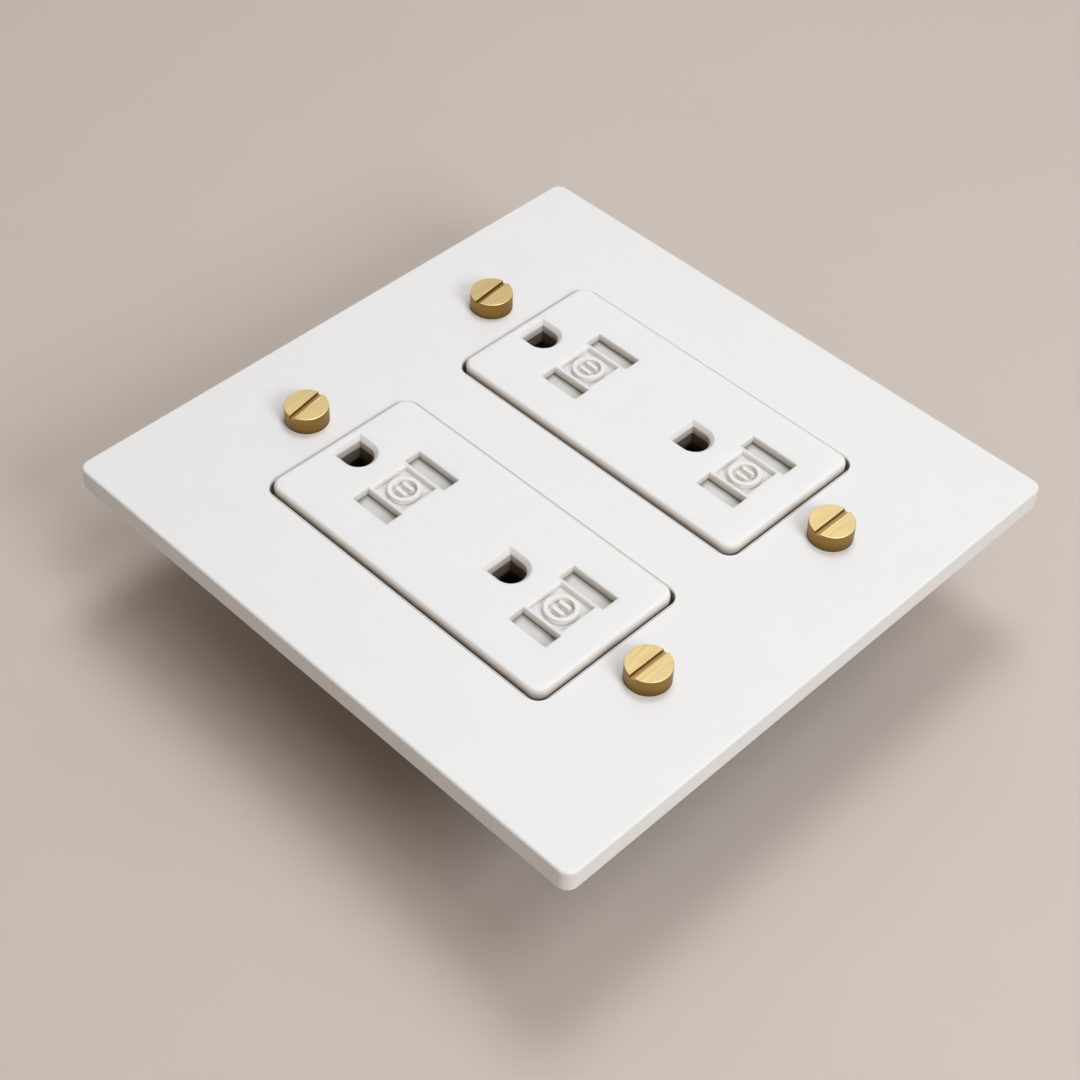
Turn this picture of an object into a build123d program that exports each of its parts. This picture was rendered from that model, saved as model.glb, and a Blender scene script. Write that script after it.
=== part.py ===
from build123d import *
import os

# Two duplex receptacles behind a two-gang wall plate, held by four slotted brass screws
# Millimetres. +Z points out of the wall, +Y to the ground-hole end, origin mid plate on the wall plane

# Wall plate and gasket
plate_width = 120.0
plate_height = 120.0
plate_thickness = 4.2
plate_corner_radius = 2.2
plate_edge_radius = 0.5
plate_web = 2.0
rim_width = 4.2
opening_corner_radius = 2.2
opening_edge_radius = 0.25
opening_collar = 1.6
collar_clearance = 0.3
boss_diameter = 9.6
gang_pitch = 46.0
gasket_thickness = 0.6
gasket_inset = 0.7

# Plate screws and their retaining washers
screw_pitch = 83.3
screw_head_diameter = 8.1
screw_head_height = 3.45
screw_head_edge = 0.25
driver_slot_width = 1.0
driver_slot_depth = 0.6
upper_left_slot_turn = 10.0
upper_right_slot_turn = 6.0
lower_slot_turn = 0.0
thread_diameter = 3.5
neck_diameter = 2.9
screw_reach = 16.0
thread_tip_chamfer = 0.6
screw_hole_clearance = 0.35
retainer_side = 9.0
retainer_thickness = 0.8
retainer_clearance = 0.15
neck_margin = 0.4

# Front cover
face_width = 32.6
face_length = 66.1
face_corner_radius = 2.5
face_edge_radius = 0.8
face_gap = 0.45
face_wall = 1.8
cover_wall = 1.1
hole_edge_radius = 0.2

# Outlets, two on each cover
outlet_inset = 14.0
slot_line_drop = 3.1
blade_pitch = 12.7
blade_slot_width = 3.55
neutral_slot_length = 10.15
hot_slot_length = 8.7
pocket_side = 7.75
pocket_depth = 1.1
ground_rise = 11.9
ground_hole_width = 5.6
ground_lead_in = 0.8
ground_hole_wall = 2.4
ground_collar_wall = 0.45

# Shutters, their carrier and springs
shutter_thickness = 1.7
shutter_overlap = 0.6
shutter_margin = 0.9
shutter_float = 0.1
shutter_headroom = 0.3
travel_margin = 0.15
ramp_rise = 0.5
window_clearance = 0.15
carrier_floor = 0.8
carrier_clearance = 0.15
collar_joint = 0.2
rail_width = 0.8
rail_height = 1.6
rail_clearance = 0.125
stop_width = 0.9
spring_wall = 0.9
spring_wall_length = 9.2
spring_thickness = 0.25
spring_height = 1.2
spring_seat_length = 7.0
spring_bend_radius = 1.0
spring_tip_rise = 6.6
spring_gap = 0.1

# Mounting strap
strap_thickness = 1.3
strap_end_gap = 3.0
strip_width = 7.6
neck_width = 16.0
neck_slot_gap = 1.0
ear_width = 24.0
ear_corner_radius = 3.0
ear_gap = 0.6
plaster_ear_radius = 5.0
plaster_ear_inset = 5.8
plaster_hole_diameter = 4.0
score_width = 0.7
score_depth = 0.6
score_inset = 3.4
mounting_slot_length = 7.0
mounting_slot_clearance = 0.25
tapped_hole_inset = 4.4
tapped_hole_diameter = 3.5
ring_width = 2.8
ring_clearance = 0.3
strap_notch_clearance = 0.2
tab_width = 6.4
tab_drop = 8.0
tab_reach = 2.5
tab_bend_radius = 1.4
tab_from_ear_start = 4.2

# Ground clips and rivets
pin_diameter = 4.8
pin_squeeze = 0.1
clip_thickness = 0.5
clip_arm_width = 7.0
clip_depth = 10.8
clip_throat_depth = 7.4
clip_shoulder_depth = 3.0
clip_mouth_clearance = 0.35
clip_mouth_ledge = 0.2
clip_flare = 0.65
clip_bend_radius = 0.8
clip_plate_margin = 0.3
rivet_diameter = 1.8
rivet_head_diameter = 3.0
rivet_head_height = 0.5
rivet_clearance = 0.05

# Hot and neutral contacts
contact_thickness = 0.6
contact_drop = 1.6
contact_depth = 13.5
blade_thickness = 1.5
blade_squeeze = 0.15
grip_width = 8.0
grip_mouth = 2.8
grip_throat_depth = 5.0
grip_foot = 3.0
grip_shoulder_rise = 2.2
grip_bend_radius = 0.7
strip_offset = 3.85
bus_strip_width = 2.2
terminal_plate_length = 28.0
terminal_plate_top = 4.0
terminal_tab_width = 6.0
break_window_width = 3.6
break_link = 1.0

# Terminal screws
terminal_pitch = 19.0
terminal_depth = 8.4
terminal_head_diameter = 7.4
terminal_head_height = 2.1
terminal_thread_diameter = 3.8
terminal_thread_length = 3.2
terminal_slot_width = 1.0
terminal_slot_depth = 0.9
terminal_head_edge = 0.4
terminal_clearance = 0.1

# Rear housing
housing_depth = 27.0
ledge_depth = 13.0
back_length = 49.0
back_side_step = 1.0
back_taper = 2.0
back_edge = 1.0
flange_thickness = 1.5
recess_depth = 3.1
recess_length = 31.0
recess_height = 14.8
chamber_clearance = 0.3
chamber_floor_gap = 0.1
strip_clearance = 0.2
wire_hole_diameter = 2.3
wire_hole_pitch = 7.0
wire_hole_count = 4
release_slot_width = 1.2
release_slot_length = 3.2
release_slot_depth = 6.0
release_slot_offset = 2.6

# Assembly screws, housing to cover
assembly_inset = 2.7
assembly_boss_diameter = 3.4
assembly_shank_diameter = 2.2
assembly_head_diameter = 4.0
assembly_head_height = 1.6
assembly_bite = 2.6
assembly_clearance = 0.05
cross_recess_length = 2.2
cross_recess_width = 0.6
cross_recess_depth = 0.8
corner_notch_clearance = 0.3

# Heights that follow
plate_back = gasket_thickness
plate_front = plate_back + plate_thickness
web_back = plate_front - plate_web
carrier_top = strap_thickness + carrier_floor
shutter_bottom = carrier_top + shutter_float
shutter_top = shutter_bottom + shutter_thickness
cover_ceiling = shutter_top + shutter_headroom
face_top = cover_ceiling + face_wall
ground_wall_end = face_top - ground_hole_wall
neck_end = retainer_thickness + neck_margin

# Widths, places and outlines that follow
recess_width = plate_width - 2 * rim_width
recess_length_back = plate_height - 2 * rim_width
opening_width = face_width + 2 * face_gap
opening_length = face_length + 2 * face_gap
cavity_width = face_width - 2 * cover_wall
cavity_length = face_length - 2 * cover_wall
cavity_radius = max(face_corner_radius - cover_wall, hole_edge_radius)
outlet_pitch = face_length - 2 * outlet_inset
upper_slot_y = outlet_pitch / 2 - slot_line_drop
lower_slot_y = -outlet_pitch / 2 - slot_line_drop
slot_places = [(0, upper_slot_y), (0, lower_slot_y)]
ground_places = [(0, upper_slot_y + ground_rise), (0, lower_slot_y + ground_rise)]
ground_radius = ground_hole_width / 2
blade_x = blade_pitch / 2
assembly_pitch_x = face_width - 2 * assembly_inset
assembly_pitch_y = face_length - 2 * assembly_inset
screw_hole_diameter = thread_diameter + 2 * screw_hole_clearance

# Shutter sizes that follow
shutter_reach = blade_x + blade_slot_width / 2 + shutter_overlap
shutter_travel = blade_slot_width + shutter_overlap + travel_margin
shutter_width = neutral_slot_length + 2 * shutter_margin
window_width = blade_slot_width + 2 * window_clearance
window_length = neutral_slot_length + 2 * window_clearance
window_edge = blade_x + blade_slot_width / 2 + window_clearance - shutter_travel
carrier_width = cavity_width - 2 * carrier_clearance
carrier_length = cavity_length - 2 * carrier_clearance
spring_wall_x = carrier_width / 2 - spring_wall

# Strap and housing sizes that follow
ring_hole_half = ground_radius + ring_clearance
ring_radius = ring_hole_half + ring_width
rivet_x = (ring_hole_half + ring_radius) / 2
strap_length = recess_length_back - 2 * strap_end_gap
ear_start = face_length / 2 + ear_gap
ear_depth = strap_length / 2 - ear_start
neck_top_start = upper_slot_y + neutral_slot_length / 2 + neck_slot_gap
neck_bottom_start = lower_slot_y - neutral_slot_length / 2 - neck_slot_gap
ground_tab_y = -ear_start - tab_from_ear_start
tab_outside = ear_width / 2 + tab_reach + strap_thickness / 2
terminal_x = face_width / 2 - recess_depth
strip_x = blade_x + strip_offset - bus_strip_width / 2
strip_edge = blade_x + strip_offset
channel_edge = strip_edge + strip_clearance
contact_length = upper_slot_y - lower_slot_y + grip_width
contact_mid_y = (upper_slot_y + lower_slot_y) / 2
channel_depth = contact_depth + chamber_floor_gap

# One outlet's pair of blade slots, neutral on +X and hot on -X
with BuildSketch() as blade_slots:
    with Locations((blade_x, 0)):
        Rectangle(blade_slot_width, neutral_slot_length)
    with Locations((-blade_x, 0)):
        Rectangle(blade_slot_width, hot_slot_length)

# Ground hole: straight on the +Y side, round on the slot side
with BuildSketch() as ground_hole:
    with BuildLine():
        ground_left = Line((-ground_radius, 0), (-ground_radius, ground_radius))
        ground_flat = Line(ground_left @ 1, (ground_radius, ground_radius))
        ground_right = Line(ground_flat @ 1, (ground_radius, 0))
        ThreePointArc(ground_right @ 1, (0, -ground_radius), ground_left @ 0)
    make_face()

with BuildSketch() as ground_collar:
    add(ground_hole.sketch)
    offset(amount=ground_collar_wall, kind=Kind.INTERSECTION)

with BuildSketch() as strap_hole:
    add(ground_hole.sketch)
    offset(amount=ring_clearance, kind=Kind.INTERSECTION)

with BuildSketch() as clip_mouth:
    add(ground_hole.sketch)
    offset(amount=clip_mouth_clearance, kind=Kind.INTERSECTION)

# Wall plate: a slab with a rear recess, a collar round each opening and a boss at each screw
with BuildPart() as wall_plate:
    with BuildSketch(Plane.XY.offset(plate_back)):
        RectangleRounded(plate_width, plate_height, plate_corner_radius)
    extrude(amount=plate_thickness)
    with BuildSketch(Plane.XY.offset(plate_back)):
        Rectangle(recess_width, recess_length_back)
    extrude(amount=web_back - plate_back, mode=Mode.SUBTRACT)
    with BuildSketch(Plane.XY.offset(strap_thickness + collar_clearance)):
        with GridLocations(gang_pitch, 0, 2, 1):
            RectangleRounded(
                opening_width + 2 * opening_collar,
                opening_length + 2 * opening_collar,
                opening_corner_radius + opening_collar,
            )
    extrude(amount=web_back - strap_thickness - collar_clearance)
    with BuildSketch(Plane.XY.offset(strap_thickness)):
        with GridLocations(gang_pitch, screw_pitch, 2, 2):
            Circle(boss_diameter / 2)
    extrude(amount=web_back - strap_thickness)
    with BuildSketch(Plane.XY.offset(plate_front)):
        with GridLocations(gang_pitch, 0, 2, 1):
            RectangleRounded(opening_width, opening_length, opening_corner_radius)
        with GridLocations(gang_pitch, screw_pitch, 2, 2):
            Circle(screw_hole_diameter / 2)
    extrude(amount=-plate_front, mode=Mode.SUBTRACT)
    plate_face = wall_plate.faces().sort_by(Axis.Z)[-1]
    fillet(plate_face.outer_wire().edges(), plate_edge_radius)
    plate_face = wall_plate.faces().sort_by(Axis.Z)[-1]
    opening_rims = plate_face.inner_wires().sort_by(SortBy.LENGTH)[-2:]
    fillet(opening_rims.edges(), opening_edge_radius)
wall_plate.part.label = "wall_plate"

# Gasket: a thin frame behind the plate's rim, set in from its edge
with BuildPart() as wall_gasket:
    with BuildSketch():
        RectangleRounded(
            plate_width - 2 * gasket_inset,
            plate_height - 2 * gasket_inset,
            plate_corner_radius,
        )
        Rectangle(recess_width, recess_length_back, mode=Mode.SUBTRACT)
    extrude(amount=gasket_thickness)
wall_gasket.part.label = "wall_gasket"

# Plate screws: tall slotted heads on the plate, a relieved neck and a full thread behind the strap
screw_turns = [lower_slot_turn, upper_left_slot_turn, lower_slot_turn, upper_right_slot_turn]
screw_places = GridLocations(gang_pitch, screw_pitch, 2, 2).locations
with BuildPart() as plate_screws:
    with BuildSketch(Plane.XY.offset(plate_front)):
        with GridLocations(gang_pitch, screw_pitch, 2, 2):
            Circle(screw_head_diameter / 2)
    extrude(amount=screw_head_height)
    fillet(plate_screws.edges().group_by(Axis.Z)[-1], screw_head_edge)
    with BuildSketch(Plane.XY.offset(plate_front + screw_head_height)):
        for place, turn in zip(screw_places, screw_turns):
            with Locations(place):
                Rectangle(screw_head_diameter, driver_slot_width, rotation=turn)
    extrude(amount=-driver_slot_depth, mode=Mode.SUBTRACT)
    with BuildSketch(Plane.XY.offset(plate_front)):
        with GridLocations(gang_pitch, screw_pitch, 2, 2):
            Circle(neck_diameter / 2)
    extrude(amount=-plate_front - neck_end)
    with BuildSketch(Plane.XY.offset(-neck_end)):
        with GridLocations(gang_pitch, screw_pitch, 2, 2):
            Circle(thread_diameter / 2)
    extrude(amount=neck_end - screw_reach)
    chamfer(plate_screws.edges().group_by(Axis.Z)[0], thread_tip_chamfer)
plate_screws.part.label = "plate_screws"

# Fibre washers that keep the plate screws on the strap
with BuildPart() as screw_retainers:
    with BuildSketch():
        with GridLocations(gang_pitch, screw_pitch, 2, 2):
            Rectangle(retainer_side, retainer_side)
            Circle(neck_diameter / 2 + retainer_clearance, mode=Mode.SUBTRACT)
    extrude(amount=-retainer_thickness)
screw_retainers.part.label = "screw_retainers"

# Front cover: a cup with its face up, open behind, with corner bosses and a notch at each end
with BuildPart() as front_cover:
    with BuildSketch():
        RectangleRounded(face_width, face_length, face_corner_radius)
    extrude(amount=face_top)
    fillet(front_cover.faces().sort_by(Axis.Z)[-1].edges(), face_edge_radius)
    with BuildSketch():
        RectangleRounded(cavity_width, cavity_length, cavity_radius)
    extrude(amount=cover_ceiling, mode=Mode.SUBTRACT)
    with BuildSketch(Plane.XY.offset(ground_wall_end)):
        with Locations(*ground_places):
            add(ground_collar.sketch)
    extrude(amount=face_top - face_wall - ground_wall_end)
    with BuildSketch():
        with GridLocations(assembly_pitch_x, assembly_pitch_y, 2, 2):
            Circle(assembly_boss_diameter / 2)
    extrude(amount=cover_ceiling)
    with BuildSketch():
        with GridLocations(assembly_pitch_x, assembly_pitch_y, 2, 2):
            Circle(assembly_shank_diameter / 2 + assembly_clearance)
    extrude(amount=assembly_bite + assembly_clearance, mode=Mode.SUBTRACT)
    with BuildSketch():
        Rectangle(neck_width + 2 * strap_notch_clearance, face_length)
    extrude(amount=strap_thickness + strap_notch_clearance, mode=Mode.SUBTRACT)
    with BuildSketch(Plane.XY.offset(face_top)):
        with Locations(*slot_places):
            add(blade_slots.sketch)
    extrude(amount=-face_wall, mode=Mode.SUBTRACT)
    with BuildSketch(Plane.XY.offset(face_top)):
        with Locations(*slot_places):
            Rectangle(pocket_side, pocket_side)
    extrude(amount=-pocket_depth, mode=Mode.SUBTRACT)
    face_rims = front_cover.faces().sort_by(Axis.Z)[-1].inner_wires().edges()
    fillet(face_rims, hole_edge_radius)
    with BuildSketch(Plane.XY.offset(face_top)):
        with Locations(*ground_places):
            add(ground_hole.sketch)
    extrude(amount=-ground_hole_wall, mode=Mode.SUBTRACT)
    chamfer(front_cover.edges(Select.LAST).group_by(Axis.Z)[-1], ground_lead_in)
front_cover.part.label = "front_cover"

# Shutter carrier: a floor on the strap with rails, stops and spring walls, and a collar at each ground hole
notch_x = carrier_width / 2 - assembly_pitch_x / 2 + assembly_boss_diameter / 2 + corner_notch_clearance
notch_y = carrier_length / 2 - assembly_pitch_y / 2 + assembly_boss_diameter / 2 + corner_notch_clearance
rail_pitch = shutter_width + 2 * rail_clearance + rail_width
stop_x = shutter_reach + spring_gap + stop_width / 2
with BuildPart() as shutter_carrier:
    with BuildSketch(Plane.XY.offset(strap_thickness)):
        Rectangle(carrier_width, carrier_length)
        with GridLocations(carrier_width, carrier_length, 2, 2):
            Rectangle(2 * notch_x, 2 * notch_y, mode=Mode.SUBTRACT)
    extrude(amount=carrier_floor)
    with BuildSketch(Plane.XY.offset(strap_thickness)):
        with Locations(*ground_places):
            add(ground_collar.sketch)
    extrude(amount=ground_wall_end - collar_joint - strap_thickness)
    with BuildSketch(Plane.XY.offset(carrier_top)):
        with Locations(*slot_places):
            with GridLocations(0, rail_pitch, 1, 2):
                Rectangle(2 * shutter_reach, rail_width)
            with Locations((-stop_x, 0)):
                Rectangle(stop_width, rail_pitch + rail_width)
            with Locations((spring_wall_x + spring_wall / 2, 0)):
                Rectangle(spring_wall, spring_wall_length)
    extrude(amount=rail_height)
    with BuildSketch(Plane.XY.offset(strap_thickness)):
        with Locations(*slot_places):
            add(blade_slots.sketch)
        with Locations(*ground_places):
            add(ground_hole.sketch)
    extrude(amount=ground_wall_end - strap_thickness, mode=Mode.SUBTRACT)
shutter_carrier.part.label = "shutter_carrier"

# Shutter: a slide that covers both slots at rest, with a ramp under each blade and a window to shift to
ramp_low = shutter_top - ramp_rise
neutral_ramp_top = blade_x + blade_slot_width / 2
hot_ramp_top = -blade_x + blade_slot_width / 2
with BuildPart() as shutter:
    with BuildSketch(Plane.XZ):
        with BuildLine():
            Polyline(
                (-shutter_reach, shutter_bottom),
                (shutter_reach, shutter_bottom),
                (shutter_reach, shutter_top),
                (neutral_ramp_top, shutter_top),
                (window_edge, ramp_low),
                (window_edge, shutter_top),
                (hot_ramp_top, shutter_top),
                (-shutter_reach, ramp_low),
                close=True,
            )
        make_face()
    extrude(amount=shutter_width / 2, both=True)
    with BuildSketch(Plane.XY.offset(shutter_bottom)):
        with Locations((window_edge - window_width / 2, 0)):
            Rectangle(window_width, window_length)
    extrude(amount=shutter_thickness, mode=Mode.SUBTRACT)
shutter.part.label = "shutter"

# Leaf spring: a hairpin between the carrier's spring wall and the end of the shutter
spring_seat_x = spring_wall_x - spring_gap - spring_thickness / 2
spring_tip_x = shutter_reach + spring_gap + spring_thickness / 2
with BuildPart() as shutter_spring:
    with BuildSketch(Plane.XY.offset(carrier_top + shutter_float)):
        with BuildLine():
            seat_leg = Line((spring_seat_x, spring_seat_length / 2), (spring_seat_x, -spring_seat_length / 2))
            hairpin = TangentArc(
                seat_leg @ 1,
                (spring_seat_x - 2 * spring_bend_radius, -spring_seat_length / 2),
                tangent=seat_leg % 1,
            )
            TangentArc(
                hairpin @ 1,
                (spring_tip_x, spring_tip_rise - spring_seat_length / 2),
                tangent=hairpin % 1,
            )
        trace(line_width=spring_thickness)
    extrude(amount=spring_height)
shutter_spring.part.label = "shutter_spring"

# Mounting strap: a strip with rings at the ground holes, slotted ears and a bent tab for the ground screw
with BuildPart() as mounting_strap:
    with BuildSketch():
        with Locations((0, (neck_top_start + neck_bottom_start) / 2)):
            Rectangle(strip_width, neck_top_start - neck_bottom_start)
        with Locations((0, (neck_top_start + ear_start) / 2)):
            Rectangle(neck_width, ear_start - neck_top_start)
        with Locations((0, (neck_bottom_start - ear_start) / 2)):
            Rectangle(neck_width, neck_bottom_start + ear_start)
        with GridLocations(0, 2 * ear_start + ear_depth, 1, 2):
            RectangleRounded(ear_width, ear_depth, ear_corner_radius)
        with GridLocations(ear_width, strap_length - 2 * plaster_ear_inset, 2, 2):
            Circle(plaster_ear_radius)
        with Locations(*ground_places):
            Circle(ring_radius)
        with Locations(*ground_places):
            add(strap_hole.sketch, mode=Mode.SUBTRACT)
            with GridLocations(2 * rivet_x, 0, 2, 1):
                Circle(rivet_diameter / 2 + rivet_clearance, mode=Mode.SUBTRACT)
        with GridLocations(0, screw_pitch, 1, 2):
            SlotOverall(
                mounting_slot_length,
                thread_diameter + 2 * mounting_slot_clearance,
                mode=Mode.SUBTRACT,
            )
        with GridLocations(0, strap_length - 2 * tapped_hole_inset, 1, 2):
            Circle(tapped_hole_diameter / 2, mode=Mode.SUBTRACT)
        with GridLocations(ear_width, strap_length - 2 * plaster_ear_inset, 2, 2):
            Circle(plaster_hole_diameter / 2, mode=Mode.SUBTRACT)
    extrude(amount=strap_thickness)
    with BuildSketch():
        with GridLocations(ear_width - 2 * score_inset, strap_length - 2 * plaster_ear_inset, 2, 2):
            Rectangle(score_width, 2 * plaster_ear_inset)
    extrude(amount=score_depth, mode=Mode.SUBTRACT)
    with BuildSketch(Plane.XZ.offset(-ground_tab_y)):
        with BuildLine():
            FilletPolyline(
                (-ear_width / 2 + ear_corner_radius, strap_thickness / 2),
                (-ear_width / 2 - tab_reach, strap_thickness / 2),
                (-ear_width / 2 - tab_reach, -tab_drop),
                radius=tab_bend_radius,
            )
        trace(line_width=strap_thickness)
    extrude(amount=tab_width / 2, both=True)
    with BuildSketch(Plane.YZ.offset(-tab_outside)):
        with Locations((ground_tab_y, -terminal_depth / 2)):
            Circle(terminal_thread_diameter / 2 + terminal_clearance)
    extrude(amount=2 * strap_thickness, mode=Mode.SUBTRACT)
mounting_strap.part.label = "mounting_strap"

# Ground clips: a plate under each strap ring with two sprung arms down the sides of the pin
clip_throat = pin_diameter / 2 - pin_squeeze + clip_thickness / 2
clip_shoulder = ground_radius + clip_mouth_clearance + clip_mouth_ledge + clip_thickness / 2
clip_half_length = clip_shoulder + clip_thickness / 2
with BuildSketch() as clip_arms:
    with BuildLine():
        FilletPolyline(
            (clip_shoulder, -clip_thickness / 2),
            (clip_shoulder, -clip_shoulder_depth),
            (clip_throat, -clip_throat_depth),
            (clip_throat + clip_flare, -clip_depth),
            radius=clip_bend_radius,
        )
    trace(line_width=clip_thickness)
    mirror(about=Plane.YZ)

with BuildPart() as ground_clips:
    with BuildSketch():
        with Locations(*ground_places):
            Rectangle(2 * ring_radius, 2 * clip_half_length + 2 * clip_plate_margin)
            add(clip_mouth.sketch, mode=Mode.SUBTRACT)
            with GridLocations(2 * rivet_x, 0, 2, 1):
                Circle(rivet_diameter / 2 + rivet_clearance, mode=Mode.SUBTRACT)
    extrude(amount=-clip_thickness)
    with BuildSketch(Plane.YZ):
        for place in ground_places:
            with Locations((place[1], 0)):
                add(clip_arms.sketch)
    extrude(amount=clip_arm_width / 2, both=True)
ground_clips.part.label = "ground_clips"

# Rivets through strap and clips, flush in front with a head behind
with BuildPart() as ground_rivets:
    with BuildSketch(Plane.XY.offset(strap_thickness)):
        with Locations(*ground_places):
            with GridLocations(2 * rivet_x, 0, 2, 1):
                Circle(rivet_diameter / 2)
    extrude(amount=-strap_thickness - clip_thickness)
    with BuildSketch(Plane.XY.offset(-clip_thickness)):
        with Locations(*ground_places):
            with GridLocations(2 * rivet_x, 0, 2, 1):
                Circle(rivet_head_diameter / 2)
    extrude(amount=-rivet_head_height)
ground_rivets.part.label = "ground_rivets"

# Neutral contacts: two sprung grips on a bus strip, with a terminal plate that can be parted at its links
grip_throat = blade_thickness / 2 - blade_squeeze + contact_thickness / 2
grip_shoulder_depth = contact_depth - grip_shoulder_rise
foot_half = grip_foot / 2 + contact_thickness / 2
mouth_half = grip_mouth / 2 + contact_thickness / 2
foot_depth = contact_depth - contact_thickness / 2
plate_mid_depth = (terminal_plate_top + contact_depth) / 2
break_top = terminal_plate_top + break_link
break_bottom = contact_depth - contact_thickness - break_link
with BuildSketch() as blade_grip:
    with BuildLine():
        FilletPolyline(
            (-mouth_half, -contact_drop),
            (-grip_throat, -grip_throat_depth),
            (-foot_half, -grip_shoulder_depth),
            (-foot_half, -foot_depth),
            (foot_half, -foot_depth),
            (foot_half, -grip_shoulder_depth),
            (grip_throat, -grip_throat_depth),
            (mouth_half, -contact_drop),
            radius=grip_bend_radius,
        )
    trace(line_width=contact_thickness)

with BuildPart() as neutral_contacts:
    for slot_y in (upper_slot_y, lower_slot_y):
        with BuildSketch(Plane.XZ.offset(-slot_y)):
            with Locations((blade_x, 0)):
                add(blade_grip.sketch)
        extrude(amount=grip_width / 2, both=True)
    with BuildSketch(Plane.XY.offset(-contact_depth)):
        with Locations((strip_x, contact_mid_y)):
            Rectangle(bus_strip_width, contact_length)
        with Locations(*slot_places):
            with Locations(((blade_x + strip_edge) / 2, 0)):
                Rectangle(strip_edge - blade_x, grip_width)
        with Locations(((strip_x + terminal_x + contact_thickness) / 2, 0)):
            Rectangle(terminal_x + contact_thickness - strip_x, terminal_tab_width)
    extrude(amount=contact_thickness)
    with BuildSketch(Plane.YZ.offset(terminal_x)):
        with Locations((0, -plate_mid_depth)):
            Rectangle(terminal_plate_length, contact_depth - terminal_plate_top)
        with Locations((0, -(break_top + break_bottom) / 2)):
            Rectangle(break_window_width, break_bottom - break_top, mode=Mode.SUBTRACT)
        with Locations((0, -terminal_depth)):
            with GridLocations(terminal_pitch, 0, 2, 1):
                Circle(terminal_thread_diameter / 2 + terminal_clearance, mode=Mode.SUBTRACT)
    extrude(amount=contact_thickness)
neutral_contacts.part.label = "neutral_contacts"

with BuildPart() as hot_contacts:
    mirror(neutral_contacts.part, about=Plane.YZ)
hot_contacts.part.label = "hot_contacts"

# Terminal screws: slotted pan heads outside the terminal plates
with BuildPart() as neutral_terminal_screws:
    with BuildSketch(Plane.YZ.offset(terminal_x + contact_thickness)):
        with Locations((0, -terminal_depth)):
            with GridLocations(terminal_pitch, 0, 2, 1):
                Circle(terminal_head_diameter / 2)
    extrude(amount=terminal_head_height)
    chamfer(neutral_terminal_screws.edges().group_by(Axis.X)[-1], terminal_head_edge)
    with BuildSketch(Plane.YZ.offset(terminal_x + contact_thickness + terminal_head_height)):
        with Locations((0, -terminal_depth)):
            with GridLocations(terminal_pitch, 0, 2, 1):
                Rectangle(terminal_head_diameter, terminal_slot_width)
    extrude(amount=-terminal_slot_depth, mode=Mode.SUBTRACT)
    with BuildSketch(Plane.YZ.offset(terminal_x + contact_thickness)):
        with Locations((0, -terminal_depth)):
            with GridLocations(terminal_pitch, 0, 2, 1):
                Circle(terminal_thread_diameter / 2)
    extrude(amount=-terminal_thread_length)
neutral_terminal_screws.part.label = "neutral_terminal_screws"

with BuildPart() as hot_terminal_screws:
    mirror(neutral_terminal_screws.part, about=Plane.YZ)
hot_terminal_screws.part.label = "hot_terminal_screws"

# Ground screw in the strap's bent tab
with BuildPart() as ground_screw:
    with BuildSketch(Plane.YZ.offset(-tab_outside)):
        with Locations((ground_tab_y, -terminal_depth / 2)):
            Circle(terminal_head_diameter / 2)
    extrude(amount=-terminal_head_height)
    chamfer(ground_screw.edges().group_by(Axis.X)[0], terminal_head_edge)
    with BuildSketch(Plane.YZ.offset(-tab_outside - terminal_head_height)):
        with Locations((ground_tab_y, -terminal_depth / 2)):
            Rectangle(terminal_head_diameter, terminal_slot_width)
    extrude(amount=terminal_slot_depth, mode=Mode.SUBTRACT)
    with BuildSketch(Plane.YZ.offset(-tab_outside)):
        with Locations((ground_tab_y, -terminal_depth / 2)):
            Circle(terminal_thread_diameter / 2)
    extrude(amount=terminal_thread_length)
ground_screw.part.label = "ground_screw"

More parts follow.
